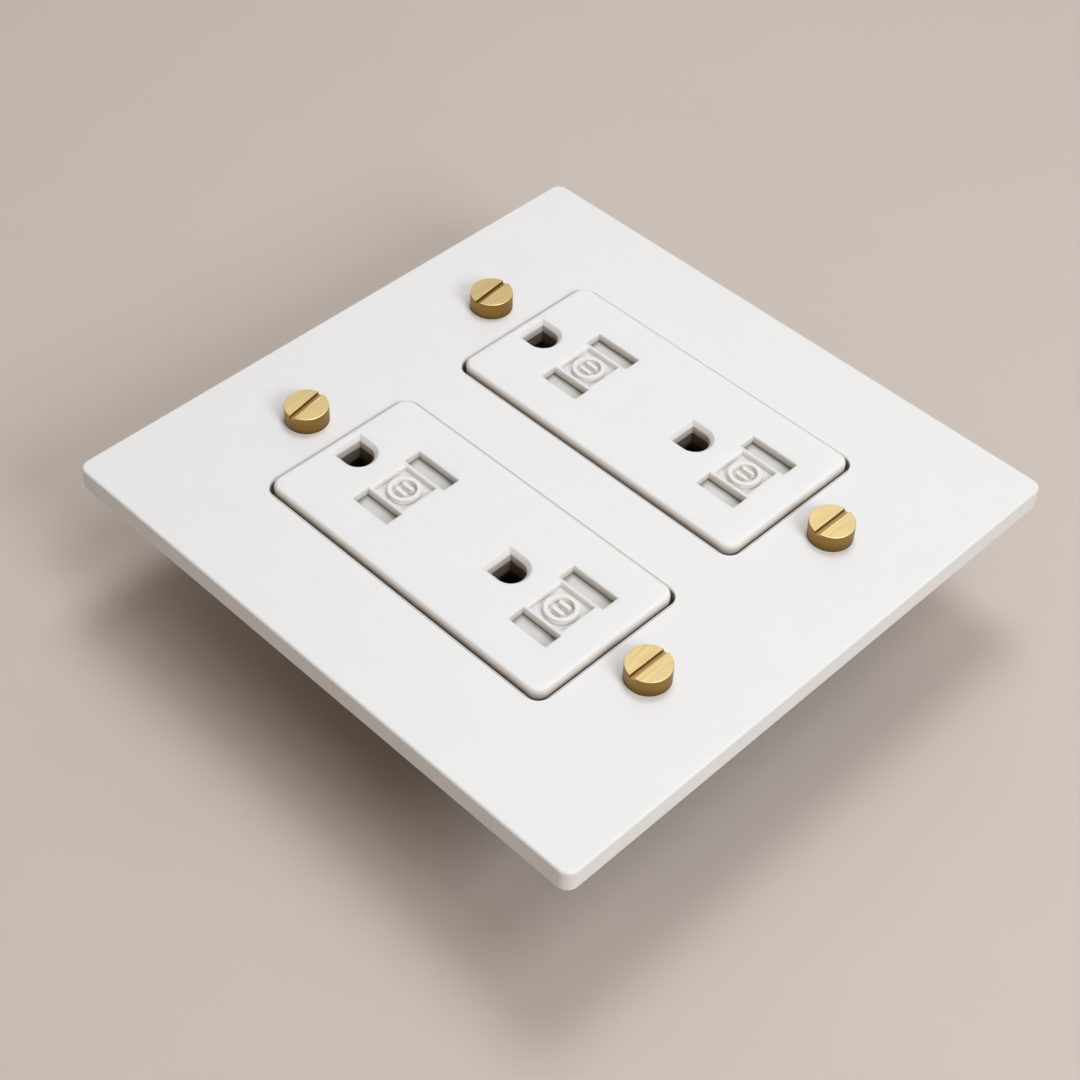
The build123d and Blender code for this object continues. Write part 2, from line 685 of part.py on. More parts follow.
# Rear housing: a stepped block with chambers for grips and clips, side recesses and wire holes behind
grip_chamber = grip_foot + 2 * contact_thickness + 2 * chamber_clearance
clip_chamber = 2 * clip_half_length + 2 * chamber_clearance
clip_seat_length = 2 * clip_half_length + 2 * clip_plate_margin + 2 * chamber_clearance
channel_width = bus_strip_width + 2 * strip_clearance
with BuildPart() as rear_housing:
    with BuildSketch():
        RectangleRounded(face_width, face_length, face_corner_radius)
    extrude(amount=-ledge_depth)
    with BuildSketch(Plane.XY.offset(-ledge_depth)):
        Rectangle(face_width - 2 * back_side_step, back_length)
    extrude(amount=ledge_depth - housing_depth, taper=back_taper)
    chamfer(rear_housing.faces().sort_by(Axis.Z)[0].edges(), back_edge)
    with BuildSketch(Plane.XY.offset(-flange_thickness)):
        with GridLocations(face_width, 0, 2, 1):
            Rectangle(2 * recess_depth, recess_length)
    extrude(amount=flange_thickness - recess_height, mode=Mode.SUBTRACT)
    with BuildSketch():
        with GridLocations(2 * terminal_x + contact_thickness, 0, 2, 1):
            Rectangle(contact_thickness + 2 * strip_clearance, terminal_plate_length + 2 * strip_clearance)
    extrude(amount=-flange_thickness, mode=Mode.SUBTRACT)
    with BuildSketch():
        with Locations(*slot_places):
            with GridLocations(blade_pitch, 0, 2, 1):
                Rectangle(grip_chamber, grip_width + 2 * chamber_clearance)
        with Locations((0, contact_mid_y)):
            with GridLocations(2 * strip_x, 0, 2, 1):
                Rectangle(channel_width, contact_length + 2 * chamber_clearance)
        with GridLocations(channel_edge + terminal_x, 0, 2, 1):
            Rectangle(terminal_x - channel_edge, terminal_tab_width + 2 * strip_clearance)
    extrude(amount=-channel_depth, mode=Mode.SUBTRACT)
    with BuildSketch():
        with Locations(*ground_places):
            Rectangle(clip_arm_width + 2 * chamber_clearance, clip_chamber)
    extrude(amount=-clip_depth - chamber_clearance, mode=Mode.SUBTRACT)
    with BuildSketch():
        with Locations(*ground_places):
            Rectangle(2 * ring_radius + chamber_clearance, clip_seat_length)
    extrude(amount=-clip_thickness - rivet_head_height - chamber_floor_gap, mode=Mode.SUBTRACT)
    for side in (1, -1):
        with BuildSketch(Plane.YZ.offset(side * channel_edge)):
            with Locations((0, -terminal_depth)):
                with GridLocations(terminal_pitch, 0, 2, 1):
                    Circle(terminal_thread_diameter / 2 + terminal_clearance)
        extrude(amount=side * (terminal_x - channel_edge), mode=Mode.SUBTRACT)
    with BuildSketch():
        with GridLocations(assembly_pitch_x, assembly_pitch_y, 2, 2):
            Circle(assembly_shank_diameter / 2 + assembly_clearance)
    extrude(amount=-ledge_depth, mode=Mode.SUBTRACT)
    with BuildSketch(Plane.XY.offset(-housing_depth)):
        with GridLocations(2 * strip_x, wire_hole_pitch, 2, wire_hole_count):
            Circle(wire_hole_diameter / 2)
    extrude(amount=housing_depth - channel_depth, mode=Mode.SUBTRACT)
    with BuildSketch(Plane.XY.offset(-housing_depth)):
        with GridLocations(2 * (strip_x + release_slot_offset), 2 * wire_hole_pitch, 2, 2):
            Rectangle(release_slot_width, release_slot_length)
    extrude(amount=release_slot_depth, mode=Mode.SUBTRACT)
rear_housing.part.label = "rear_housing"

# Assembly screws: cross-recessed heads on the housing's end ledges, biting into the cover's bosses
with BuildPart() as assembly_screws:
    with BuildSketch(Plane.XY.offset(-ledge_depth)):
        with GridLocations(assembly_pitch_x, assembly_pitch_y, 2, 2):
            Circle(assembly_head_diameter / 2)
    extrude(amount=-assembly_head_height)
    with BuildSketch(Plane.XY.offset(-ledge_depth - assembly_head_height)):
        with GridLocations(assembly_pitch_x, assembly_pitch_y, 2, 2):
            Rectangle(cross_recess_length, cross_recess_width)
            Rectangle(cross_recess_width, cross_recess_length)
    extrude(amount=cross_recess_depth, mode=Mode.SUBTRACT)
    with BuildSketch(Plane.XY.offset(-ledge_depth)):
        with GridLocations(assembly_pitch_x, assembly_pitch_y, 2, 2):
            Circle(assembly_shank_diameter / 2)
    extrude(amount=ledge_depth + assembly_bite)
assembly_screws.part.label = "assembly_screws"

# Write the pieces: the plate's own, then one set for each receptacle
os.makedirs("parts", exist_ok=True)
for piece in (wall_plate, wall_gasket, plate_screws, screw_retainers):
    export_step(piece.part, f"parts/{piece.part.label}.step")

receptacle_pieces = (
    front_cover,
    shutter_carrier,
    mounting_strap,
    ground_clips,
    ground_rivets,
    neutral_contacts,
    hot_contacts,
    neutral_terminal_screws,
    hot_terminal_screws,
    ground_screw,
    rear_housing,
    assembly_screws,
)
for side, gang_x in (("left", -gang_pitch / 2), ("right", gang_pitch / 2)):
    for piece in receptacle_pieces:
        placed = Pos(gang_x, 0, 0) * piece.part
        placed.label = f"{side}_{piece.part.label}"
        export_step(placed, f"parts/{placed.label}.step")
    for level, slot_y in (("upper", upper_slot_y), ("lower", lower_slot_y)):
        for piece in (shutter, shutter_spring):
            placed = Pos(gang_x, slot_y, 0) * piece.part
            placed.label = f"{side}_{level}_{piece.part.label}"
            export_step(placed, f"parts/{placed.label}.step")
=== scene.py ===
"""Looks of two duplex receptacles in a two-gang wall plate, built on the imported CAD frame."""

import logging
import math
from collections.abc import Mapping, Sequence
from dataclasses import dataclass, field
from enum import Enum

import bmesh
import bpy
from mathutils import Matrix, Vector


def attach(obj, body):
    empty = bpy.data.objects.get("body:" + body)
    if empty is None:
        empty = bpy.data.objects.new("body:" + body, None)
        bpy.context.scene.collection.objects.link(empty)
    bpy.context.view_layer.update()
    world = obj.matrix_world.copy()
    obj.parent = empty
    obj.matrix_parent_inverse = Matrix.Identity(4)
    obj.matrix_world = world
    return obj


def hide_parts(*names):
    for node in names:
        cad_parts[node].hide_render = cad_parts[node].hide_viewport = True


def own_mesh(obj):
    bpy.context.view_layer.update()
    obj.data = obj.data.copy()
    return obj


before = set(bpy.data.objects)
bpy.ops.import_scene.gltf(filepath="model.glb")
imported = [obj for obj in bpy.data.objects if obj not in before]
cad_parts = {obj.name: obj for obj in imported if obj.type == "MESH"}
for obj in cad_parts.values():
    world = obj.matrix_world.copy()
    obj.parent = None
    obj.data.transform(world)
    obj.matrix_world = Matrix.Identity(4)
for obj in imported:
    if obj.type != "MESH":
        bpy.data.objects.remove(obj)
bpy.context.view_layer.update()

LOG = logging.getLogger("receptacle_pair")
ROOT_BODY = "plate_and_devices"
MM = 0.001
GANG_MM = 23.0
BEVEL_WEIGHT = "bevel_weight_edge"
ORIGIN = (0.0, 0.0, 0.0)
IN_PLAN = (1.0, 1.0, 0.0)

# The mix node's sockets: its share, its two colours and their mix, and its two numbers
SHARE, COLOUR_A, COLOUR_B, COLOUR_MIX = 0, 6, 7, 2
NUMBER_A, NUMBER_B = 2, 3

Tree = bpy.types.NodeTree
Socket = bpy.types.NodeSocket
Setting = Socket | float | Sequence[float]
Point = tuple[float, float]
Range = tuple[float, float]


class Side(Enum):
    """Which of the two receptacles, seen from the front."""

    LEFT = "left"
    RIGHT = "right"


class Row(Enum):
    """Which outlet of a receptacle."""

    UPPER = "upper"
    LOWER = "lower"


def linear(colour: str) -> tuple[float, float, float, float]:
    """Turns an sRGB hex colour to linear light, by the curve of the sRGB standard.

    Args:
        colour: A hash sign and six hex digits.

    Returns:
        Red, green, blue and an alpha of 1.
    """
    parts = [int(colour[i : i + 2], 16) / 255 for i in (1, 3, 5)]
    red, green, blue = (c / 12.92 if c <= 0.04045 else ((c + 0.055) / 1.055) ** 2.4 for c in parts)
    return red, green, blue, 1.0


def add_node(
    tree: Tree,
    kind: str,
    inputs: Mapping[str | int, Setting] | None = None,
    **settings: object,
) -> bpy.types.Node:
    """Adds one shader node, with its settings, values and links.

    Args:
        tree: The node tree that gets the node.
        kind: Blender's name of the node's type.
        inputs: What goes to each input, a value or the socket that it is linked from.
        **settings: The node's own properties.

    Returns:
        The new node.
    """
    node = tree.nodes.new(kind)
    for name, value in settings.items():
        setattr(node, name, value)
    for name, value in (inputs or {}).items():
        if isinstance(value, Socket):
            tree.links.new(value, node.inputs[name])
        else:
            node.inputs[name].default_value = value
    return node


def object_from(bm: bmesh.types.BMesh, name: str, sharp_degrees: float = 35.0) -> bpy.types.Object:
    """Makes a scene object of a mesh that was built in millimetres.

    Args:
        bm: The mesh, which is freed.
        name: The piece's name.
        sharp_degrees: Edges that turn by more than this stay sharp.

    Returns:
        The object, in metres, with its origin at the frame's.
    """
    bmesh.ops.recalc_face_normals(bm, faces=bm.faces)
    bmesh.ops.scale(bm, vec=(MM, MM, MM), verts=bm.verts)
    mesh = bpy.data.meshes.new(name)
    bm.to_mesh(mesh)
    bm.free()
    mesh.shade_smooth()
    mesh.set_sharp_from_angle(angle=math.radians(sharp_degrees))
    made = bpy.data.objects.new(name, mesh)
    bpy.context.scene.collection.objects.link(made)
    return made


def round_edges(piece: bpy.types.Object, radius_mm: float, segments: int = 3) -> None:
    """Rounds the edges that carry a bevel weight.

    Args:
        piece: The object whose mesh has the weights.
        radius_mm: The width that a weight of 1 gives.
        segments: Facets across the rounding.
    """
    bevel = piece.modifiers.new("rounded_edges", "BEVEL")
    bevel.limit_method = "WEIGHT"
    bevel.width = radius_mm * MM
    bevel.segments = segments
    bevel.harden_normals = True


def dress(piece: bpy.types.Object, material: bpy.types.Material) -> None:
    """Gives a piece one finish all over.

    Args:
        piece: A CAD node's object or a new piece.
        material: The finish.
    """
    piece.data.materials.clear()
    piece.data.materials.append(material)


@dataclass(frozen=True)
class Finish:
    """A finish: two near colours that mottle, a gloss that wanders, and a fine relief."""

    name: str
    colour: str
    shade: str
    roughness: float
    roughness_spread: float
    relief_mm: float
    grain_mm: float = 0.35
    grain_detail: float = 3.0
    grain_roughness: float = 0.55
    mottle_mm: float = 2.0
    mottle_detail: float = 4.0
    mottle_roughness: float = 0.6
    metallic: float = 0.0
    ior: float = 1.5
    anisotropic: float = 0.0
    translucence: float = 0.0
    glow_mm: float = 1.0
    glow_tint: tuple[float, float, float] = (1.0, 0.87, 0.74)

    def make(self) -> bpy.types.Material:
        """Builds the material's nodes.

        Returns:
            The finished material.
        """
        material = bpy.data.materials.new(self.name)
        material.use_nodes = True
        tree = material.node_tree
        tree.nodes.clear()
        spot = add_node(tree, "ShaderNodeTexCoord").outputs["Object"]
        scaled = add_node(tree, "ShaderNodeVectorMath", {0: spot, "Scale": 1 / MM}, operation="SCALE")
        place = scaled.outputs[0]
        relief = self.relief(tree, place)
        gloss = add_node(
            tree,
            "ShaderNodeMapRange",
            {
                "Value": relief,
                "To Min": self.roughness - self.roughness_spread,
                "To Max": self.roughness + self.roughness_spread,
            },
        )
        bump = add_node(
            tree,
            "ShaderNodeBump",
            {"Strength": 1.0, "Distance": self.relief_mm * MM, "Height": relief},
        )
        shader = add_node(
            tree,
            "ShaderNodeBsdfPrincipled",
            {
                "Base Color": self.base(tree, place),
                "Metallic": self.metallic,
                "Roughness": gloss.outputs[0],
                "IOR": self.ior,
                "Anisotropic": self.anisotropic,
                "Subsurface Weight": self.translucence,
                "Subsurface Radius": self.glow_tint,
                "Subsurface Scale": self.glow_mm * MM,
                "Normal": bump.outputs[0],
            },
        )
        add_node(tree, "ShaderNodeOutputMaterial", {"Surface": shader.outputs[0]})
        return material

    def base(self, tree: Tree, place: Socket) -> Socket:
        """Mixes the colour and its shade by the mottle.

        Args:
            tree: The material's nodes.
            place: The place on the piece in millimetres.

        Returns:
            A colour socket.
        """
        both = add_node(
            tree,
            "ShaderNodeMix",
            {SHARE: self.tone(tree, place), COLOUR_A: linear(self.colour), COLOUR_B: linear(self.shade)},
            data_type="RGBA",
        )
        return both.outputs[COLOUR_MIX]

    def tone(self, tree: Tree, place: Socket) -> Socket:
        """Draws the slow mottle between the two colours.

        Args:
            tree: The material's nodes.
            place: The place on the piece in millimetres.

        Returns:
            A socket from 0, the colour, to 1, the shade.
        """
        noise = add_node(
            tree,
            "ShaderNodeTexNoise",
            {
                "Vector": place,
                "Scale": 1 / self.mottle_mm,
                "Detail": self.mottle_detail,
                "Roughness": self.mottle_roughness,
            },
        )
        return noise.outputs[0]

    def relief(self, tree: Tree, place: Socket) -> Socket:
        """Draws the fine relief of the surface.

        Args:
            tree: The material's nodes.
            place: The place on the piece in millimetres.

        Returns:
            A socket from 0, low, to 1, high.
        """
        noise = add_node(
            tree,
            "ShaderNodeTexNoise",
            {
                "Vector": place,
                "Scale": 1 / self.grain_mm,
                "Detail": self.grain_detail,
                "Roughness": self.grain_roughness,
            },
        )
        return noise.outputs[0]

    @staticmethod
    def upward(tree: Tree) -> Socket:
        """Gives how far the surface looks up, from -1 to 1."""
        facing = add_node(tree, "ShaderNodeNewGeometry").outputs["Normal"]
        return add_node(tree, "ShaderNodeSeparateXYZ", {0: facing}).outputs["Z"]


@dataclass(frozen=True)
class DepthShade:
    """Painted shade in a narrow joint or hollow, where little light reaches.

    Each stop is a height or a distance in millimetres, a colour and the colour's share there.
    """

    stops: tuple[tuple[float, str, float], ...]

    def lay(self, tree: Tree, plain: Socket, height: Socket, where: Setting) -> Socket:
        """Lays the painted shade over a plain colour.

        Args:
            tree: The material's nodes.
            plain: The colour underneath.
            height: The height or distance, in the stops' millimetres.
            where: From 0, left plain, to 1, fully shaded.

        Returns:
            The shaded colour.
        """
        low, high = self.stops[0][0], self.stops[-1][0]
        level = add_node(tree, "ShaderNodeMapRange", {"Value": height, "From Min": low, "From Max": high})
        scale = add_node(tree, "ShaderNodeValToRGB", {0: level.outputs[0]})
        elements = scale.color_ramp.elements
        while len(elements) < len(self.stops):
            elements.new(1.0)
        for element, (stop, colour, share) in zip(elements, self.stops):
            element.position = (stop - low) / (high - low)
            element.color = (*linear(colour)[:3], share)
        laid = add_node(tree, "ShaderNodeMath", {0: scale.outputs["Alpha"], 1: where}, operation="MULTIPLY")
        shaded = add_node(
            tree,
            "ShaderNodeMix",
            {SHARE: laid.outputs[0], COLOUR_A: plain, COLOUR_B: scale.outputs["Color"]},
            data_type="RGBA",
        )
        return shaded.outputs[COLOUR_MIX]


@dataclass(frozen=True)
class CoverOutline:
    """The rounded outline of the two covers, for finishes that change at the joint round them."""

    width_mm: float = 32.6
    length_mm: float = 66.1
    corner_mm: float = 2.5
    gang_mm: float = GANG_MM

    def distance(self, tree: Tree, place: Socket) -> Socket:
        """Measures outwards from the side of the nearer cover.

        Args:
            tree: The material's nodes.
            place: The place on the piece in millimetres.

        Returns:
            A distance in millimetres, less than 0 within the outline.
        """
        inner = (self.width_mm / 2 - self.corner_mm, self.length_mm / 2 - self.corner_mm, 0.0)
        steps = (
            ("ABSOLUTE", {}),
            ("SUBTRACT", {1: (self.gang_mm, 0.0, 0.0)}),
            ("ABSOLUTE", {}),
            ("SUBTRACT", {1: inner}),
            ("MAXIMUM", {1: ORIGIN}),
            ("MULTIPLY", {1: IN_PLAN}),
        )
        for step, other in steps:
            place = add_node(tree, "ShaderNodeVectorMath", {0: place, **other}, operation=step).outputs[0]
        length = add_node(tree, "ShaderNodeVectorMath", {0: place}, operation="LENGTH").outputs["Value"]
        outward = add_node(tree, "ShaderNodeMath", {0: length, 1: self.corner_mm}, operation="SUBTRACT")
        return outward.outputs[0]


@dataclass(frozen=True)
class PowderCoat(Finish):
    """Polyester powder baked on steel: dead matt, with the faint long waves of orange peel."""

    wave_mm: float = 1.8
    wave_detail: float = 1.0
    wave_share: float = 0.6
    covers: CoverOutline = CoverOutline()
    opening_reach_mm: float = 0.6
    # Painted shade down the walls of the openings, darker with depth in the gap round the covers.
    joint: DepthShade = DepthShade(
        (
            (3.0, "#1d130a", 0.9),
            (3.8, "#4f3b26", 0.72),
            (4.4, "#937d62", 0.5),
            (4.7, "#b5a189", 0.32),
            (4.8, "#c9bdb0", 0.0),
        )
    )
    # Painted shade: a thin darker line on the plate round each opening, standing in for the shadow line at
    # the joint.
    rim: DepthShade = DepthShade(((0.6, "#7d7164", 0.5), (0.86, "#8f8376", 0.44), (0.98, "#b5aba1", 0.0)))

    def base(self, tree: Tree, place: Socket) -> Socket:
        """Paints shade on the walls of the openings by depth, and a thin line of painted shade along their
        rims.

        Args:
            tree: The material's nodes.
            place: The place on the piece in millimetres.

        Returns:
            A colour socket.
        """
        height = add_node(tree, "ShaderNodeSeparateXYZ", {0: place}).outputs["Z"]
        distance = self.covers.distance(tree, place)
        reach = {0: distance, 1: self.opening_reach_mm}
        inside = add_node(tree, "ShaderNodeMath", reach, operation="LESS_THAN")
        outside = add_node(tree, "ShaderNodeMath", reach, operation="GREATER_THAN")
        shaded = self.joint.lay(tree, super().base(tree, place), height, inside.outputs[0])
        return self.rim.lay(tree, shaded, distance, outside.outputs[0])

    def relief(self, tree: Tree, place: Socket) -> Socket:
        """Draws orange-peel waves with the powder's grain on them.

        Args:
            tree: The material's nodes.
            place: The place on the piece in millimetres.

        Returns:
            A socket from 0, low, to 1, high.
        """
        grain = super().relief(tree, place)
        wave = add_node(
            tree,
            "ShaderNodeTexNoise",
            {"Vector": place, "Scale": 1 / self.wave_mm, "Detail": self.wave_detail},
        )
        both = add_node(
            tree,
            "ShaderNodeMix",
            {SHARE: self.wave_share, NUMBER_A: grain, NUMBER_B: wave.outputs[0]},
            data_type="FLOAT",
        )
        return both.outputs[0]


@dataclass(frozen=True)
class MouldedCover(Finish):
    """White moulding with painted shade: its upright walls darken towards their foot, where shade falls."""

    # Painted shade on inner walls such as the slots', darkest at the foot by the shutters.
    wall: DepthShade = DepthShade(
        (
            (4.2, "#1f1812", 0.96),
            (4.32, "#3d3024", 0.85),
            (4.5, "#a08258", 0.45),
            (5.1, "#bd9a74", 0.22),
            (5.8, "#c9ae90", 0.0),
        )
    )
    # Painted shade on the outer side: dark in the gap below the plate's face, beige up the side, and a faint
    # line along the top rounding.
    skirt: DepthShade = DepthShade(
        (
            (3.9, "#33261a", 0.9),
            (4.3, "#7d6750", 0.62),
            (4.55, "#a08a70", 0.5),
            (5.2, "#b39e86", 0.44),
            (5.75, "#bfae9a", 0.4),
            (6.0, "#d8d0c8", 0.0),
        )
    )
    # Painted shade down the walls of the ground holes.
    hole: DepthShade = DepthShade(
        (
            (3.6, "#a07c54", 0.42),
            (5.1, "#a88860", 0.34),
            (5.2, "#a89078", 0.22),
            (5.8, "#b09a84", 0.16),
            (6.0, "#b5aba1", 0.0),
        )
    )
    outline: CoverOutline = CoverOutline()
    skirt_mm: float = 0.8
    wall_lean: float = 0.2
    flat_lean: float = 0.85
    # The share of the walls' painted shade that flat floors, such as the pockets', also get.
    flat_share: float = 0.45
    hole_middle_mm: float = 8.8
    hole_half_pitch_mm: float = 19.05
    hole_reach_mm: float = 5.4

    def base(self, tree: Tree, place: Socket) -> Socket:
        """Paints shade on inner walls from the foot up, on flat floors a little, and on the skirt and ground
        holes by depth.

        Args:
            tree: The material's nodes.
            place: The place on the piece in millimetres.

        Returns:
            A colour socket.
        """
        lean = add_node(tree, "ShaderNodeMath", {0: self.upward(tree)}, operation="ABSOLUTE")
        upright = add_node(
            tree,
            "ShaderNodeMapRange",
            {
                "Value": lean.outputs[0],
                "From Min": self.wall_lean,
                "From Max": self.flat_lean,
                "To Min": 1.0,
                "To Max": self.flat_share,
            },
            interpolation_type="SMOOTHSTEP",
        )
        plain = super().base(tree, place)
        height = add_node(tree, "ShaderNodeSeparateXYZ", {0: place}).outputs["Z"]
        shaded = self.wall.lay(tree, plain, height, upright.outputs[0])
        regions = ((self.hole, self.in_hole(tree, place)), (self.skirt, self.on_skirt(tree, place)))
        for shade, region in regions:
            both = add_node(
                tree,
                "ShaderNodeMix",
                {SHARE: region, COLOUR_A: shaded, COLOUR_B: shade.lay(tree, plain, height, 1.0)},
                data_type="RGBA",
            )
            shaded = both.outputs[COLOUR_MIX]
        return shaded

    def on_skirt(self, tree: Tree, place: Socket) -> Socket:
        """Gives 1 on the cover's outer side and 0 elsewhere."""
        skirt = add_node(
            tree,
            "ShaderNodeMath",
            {0: self.outline.distance(tree, place), 1: -self.skirt_mm},
            operation="GREATER_THAN",
        )
        return skirt.outputs[0]

    def in_hole(self, tree: Tree, place: Socket) -> Socket:
        """Folds both gangs and both rows onto one ground hole.

        Args:
            tree: The material's nodes.
            place: The place on the piece in millimetres.

        Returns:
            A socket that is 1 in a ground hole and 0 elsewhere.
        """
        steps = (
            ("SUBTRACT", {1: (0.0, self.hole_middle_mm, 0.0)}),
            ("ABSOLUTE", {}),
            ("SUBTRACT", {1: (self.outline.gang_mm, self.hole_half_pitch_mm, 0.0)}),
            ("MULTIPLY", {1: IN_PLAN}),
        )
        for step, other in steps:
            place = add_node(tree, "ShaderNodeVectorMath", {0: place, **other}, operation=step).outputs[0]
        away = add_node(tree, "ShaderNodeVectorMath", {0: place}, operation="LENGTH").outputs["Value"]
        inside = add_node(tree, "ShaderNodeMath", {0: away, 1: self.hole_reach_mm}, operation="LESS_THAN")
        return inside.outputs[0]


@dataclass(frozen=True)
class LinedFinish(Finish):
    """Fine lines one way: brushed on top, rolled along a strip, turned round a head, or felted fibres."""

    line_mm: tuple[float, float, float] = (8.0, 0.3, 0.3)
    line_detail: float = 4.0
    line_roughness: float = 0.65

    def relief(self, tree: Tree, place: Socket) -> Socket:
        """Draws the lines as noise stretched along them.

        Args:
            tree: The material's nodes.
            place: The place on the piece in millimetres.

        Returns:
            A socket from 0, low, to 1, high.
        """
        stretch = tuple(1 / length for length in self.line_mm)
        along = add_node(tree, "ShaderNodeVectorMath", {0: place, 1: stretch}, operation="MULTIPLY")
        lines = add_node(
            tree,
            "ShaderNodeTexNoise",
            {
                "Vector": along.outputs[0],
                "Scale": 1.0,
                "Detail": self.line_detail,
                "Roughness": self.line_roughness,
            },
        )
        return lines.outputs[0]


@dataclass(frozen=True)
class TurnedBrass(LinedFinish):
    """Brass turned on its side and brushed on its top: pale lines above, deeper gold below that is partly
    painted shade, and a painted highlight on the rim.
    """

    # The sides' deeper gold is partly the turned surface and partly painted shade.
    side_colour: str = "#a3834a"
    side_shade: str = "#8c6c36"
    # A painted highlight on the rounded rim of the head.
    rim_highlight_colour: str = "#e4d09e"
    ring_mm: tuple[float, float, float] = (9.0, 9.0, 0.3)
    ring_detail: float = 3.0
    rim_highlight_range: Range = (0.25, 0.55)
    top_range: Range = (0.9, 0.99)
    line_range: Range = (0.5, 0.9)
    tone_range: Range = (0.25, 0.75)
    # Painted shade on the floor of the slot.
    slot: DepthShade = DepthShade(((7.6, "#7d5f2a", 0.7), (8.0, "#7d5f2a", 0.6), (8.2, "#8c6c36", 0.0)))
    # Painted shade at the foot of the head, next to the plate.
    foot: DepthShade = DepthShade(((4.8, "#4a3616", 0.6), (5.5, "#5e4720", 0.34), (7.6, "#7d5f2a", 0.0)))

    def base(self, tree: Tree, place: Socket) -> Socket:
        """Mixes side, the rim's painted highlight and top by how far the surface looks up, with painted shade
        at the foot and in the slot.

        Args:
            tree: The material's nodes.
            place: The place on the piece in millimetres.

        Returns:
            A colour socket.
        """
        upward = self.upward(tree)
        height = add_node(tree, "ShaderNodeSeparateXYZ", {0: place}).outputs["Z"]
        rounded, flat = (
            add_node(tree, "ShaderNodeMapRange", {"Value": upward, "From Min": low, "From Max": high})
            for low, high in (self.rim_highlight_range, self.top_range)
        )
        side = add_node(
            tree,
            "ShaderNodeMix",
            {
                SHARE: self.relief(tree, place),
                COLOUR_A: linear(self.side_colour),
                COLOUR_B: linear(self.side_shade),
            },
            data_type="RGBA",
        )
        whole = self.foot.lay(tree, side.outputs[COLOUR_MIX], height, 1.0)
        top = self.slot.lay(tree, super().base(tree, place), height, 1.0)
        for level, colour in ((rounded, linear(self.rim_highlight_colour)), (flat, top)):
            both = add_node(
                tree,
                "ShaderNodeMix",
                {SHARE: level.outputs[0], COLOUR_A: whole, COLOUR_B: colour},
                data_type="RGBA",
            )
            whole = both.outputs[COLOUR_MIX]
        return whole

    def tone(self, tree: Tree, place: Socket) -> Socket:
        """Lets the brushed lines carry the shade, with more contrast than their relief."""
        lines = self.relief(tree, place)
        low, high = self.tone_range
        tone = add_node(tree, "ShaderNodeMapRange", {"Value": lines, "From Min": low, "From Max": high})
        return tone.outputs[0]

    def relief(self, tree: Tree, place: Socket) -> Socket:
        """Draws straight brushed lines on the top and the tool's rings on the side.

        Args:
            tree: The material's nodes.
            place: The place on the piece in millimetres.

        Returns:
            A socket from 0, low, to 1, high.
        """
        stretch = tuple(1 / length for length in self.ring_mm)
        around = add_node(tree, "ShaderNodeVectorMath", {0: place, 1: stretch}, operation="MULTIPLY")
        rings = add_node(
            tree,
            "ShaderNodeTexNoise",
            {"Vector": around.outputs[0], "Scale": 1.0, "Detail": self.ring_detail},
        )
        upward = self.upward(tree)
        low, high = self.line_range
        flat = add_node(tree, "ShaderNodeMapRange", {"Value": upward, "From Min": low, "From Max": high})
        both = add_node(
            tree,
            "ShaderNodeMix",
            {SHARE: flat.outputs[0], NUMBER_A: rings.outputs[0], NUMBER_B: super().relief(tree, place)},
            data_type="FLOAT",
        )
        return both.outputs[0]


@dataclass(frozen=True)
class SpangledZinc(Finish):
    """Hot-dip zinc: flat crystals of slightly different grey."""

    def tone(self, tree: Tree, place: Socket) -> Socket:
        """Draws one shade for each crystal, from 0, the colour, to 1, the shade."""
        crystals = add_node(tree, "ShaderNodeTexVoronoi", {"Vector": place, "Scale": 1 / self.mottle_mm})
        parts = add_node(tree, "ShaderNodeSeparateColor", {0: crystals.outputs["Color"]})
        return parts.outputs["Red"]


@dataclass(frozen=True)
class CellFoam(Finish):
    """Closed-cell rubber: a dull skin with small round pores."""

    def relief(self, tree: Tree, place: Socket) -> Socket:
        """Draws the pores, from 0 in a pore to 1 on the skin."""
        cells = add_node(tree, "ShaderNodeTexVoronoi", {"Vector": place, "Scale": 1 / self.grain_mm})
        return cells.outputs["Distance"]


# White polyester powder coat, baked: spreads light evenly, so only the edges show a soft line of gloss
PLATE_COAT = PowderCoat(
    name="white_powder_coat",
    colour="#efefee",
    shade="#ebebea",
    roughness=0.56,
    roughness_spread=0.05,
    grain_mm=0.5,
    relief_mm=0.004,
    mottle_mm=9.0,
)

# White urea moulded in a spark-eroded tool: a finer grit than the coat's, and light goes some way into it.
# Real grit is near 0.05 mm, drawn at 0.35 mm so that it shows
COVER_PLASTIC = MouldedCover(
    name="white_moulded_urea",
    colour="#f3f2f1",
    shade="#efeeec",
    roughness=0.58,
    roughness_spread=0.05,
    grain_mm=0.35,
    relief_mm=0.002,
    mottle_mm=7.0,
    translucence=0.8,
    glow_mm=2.2,
)

# The same urea where the tool is polished for the raised marks: smoother and a little creamier
MARK_PLASTIC = Finish(
    name="polished_moulded_urea",
    colour="#f1eeea",
    shade="#edeae5",
    roughness=0.5,
    roughness_spread=0.05,
    grain_mm=0.35,
    relief_mm=0.001,
    mottle_mm=3.0,
)

# Pale grey acetal moulding: slippery and even, with more gloss than the cover
SHUTTER_PLASTIC = Finish(
    name="pale_grey_acetal",
    colour="#d6d5d2",
    shade="#cfcecb",
    roughness=0.36,
    roughness_spread=0.05,
    grain_mm=0.4,
    relief_mm=0.002,
    mottle_mm=4.0,
    ior=1.48,
)

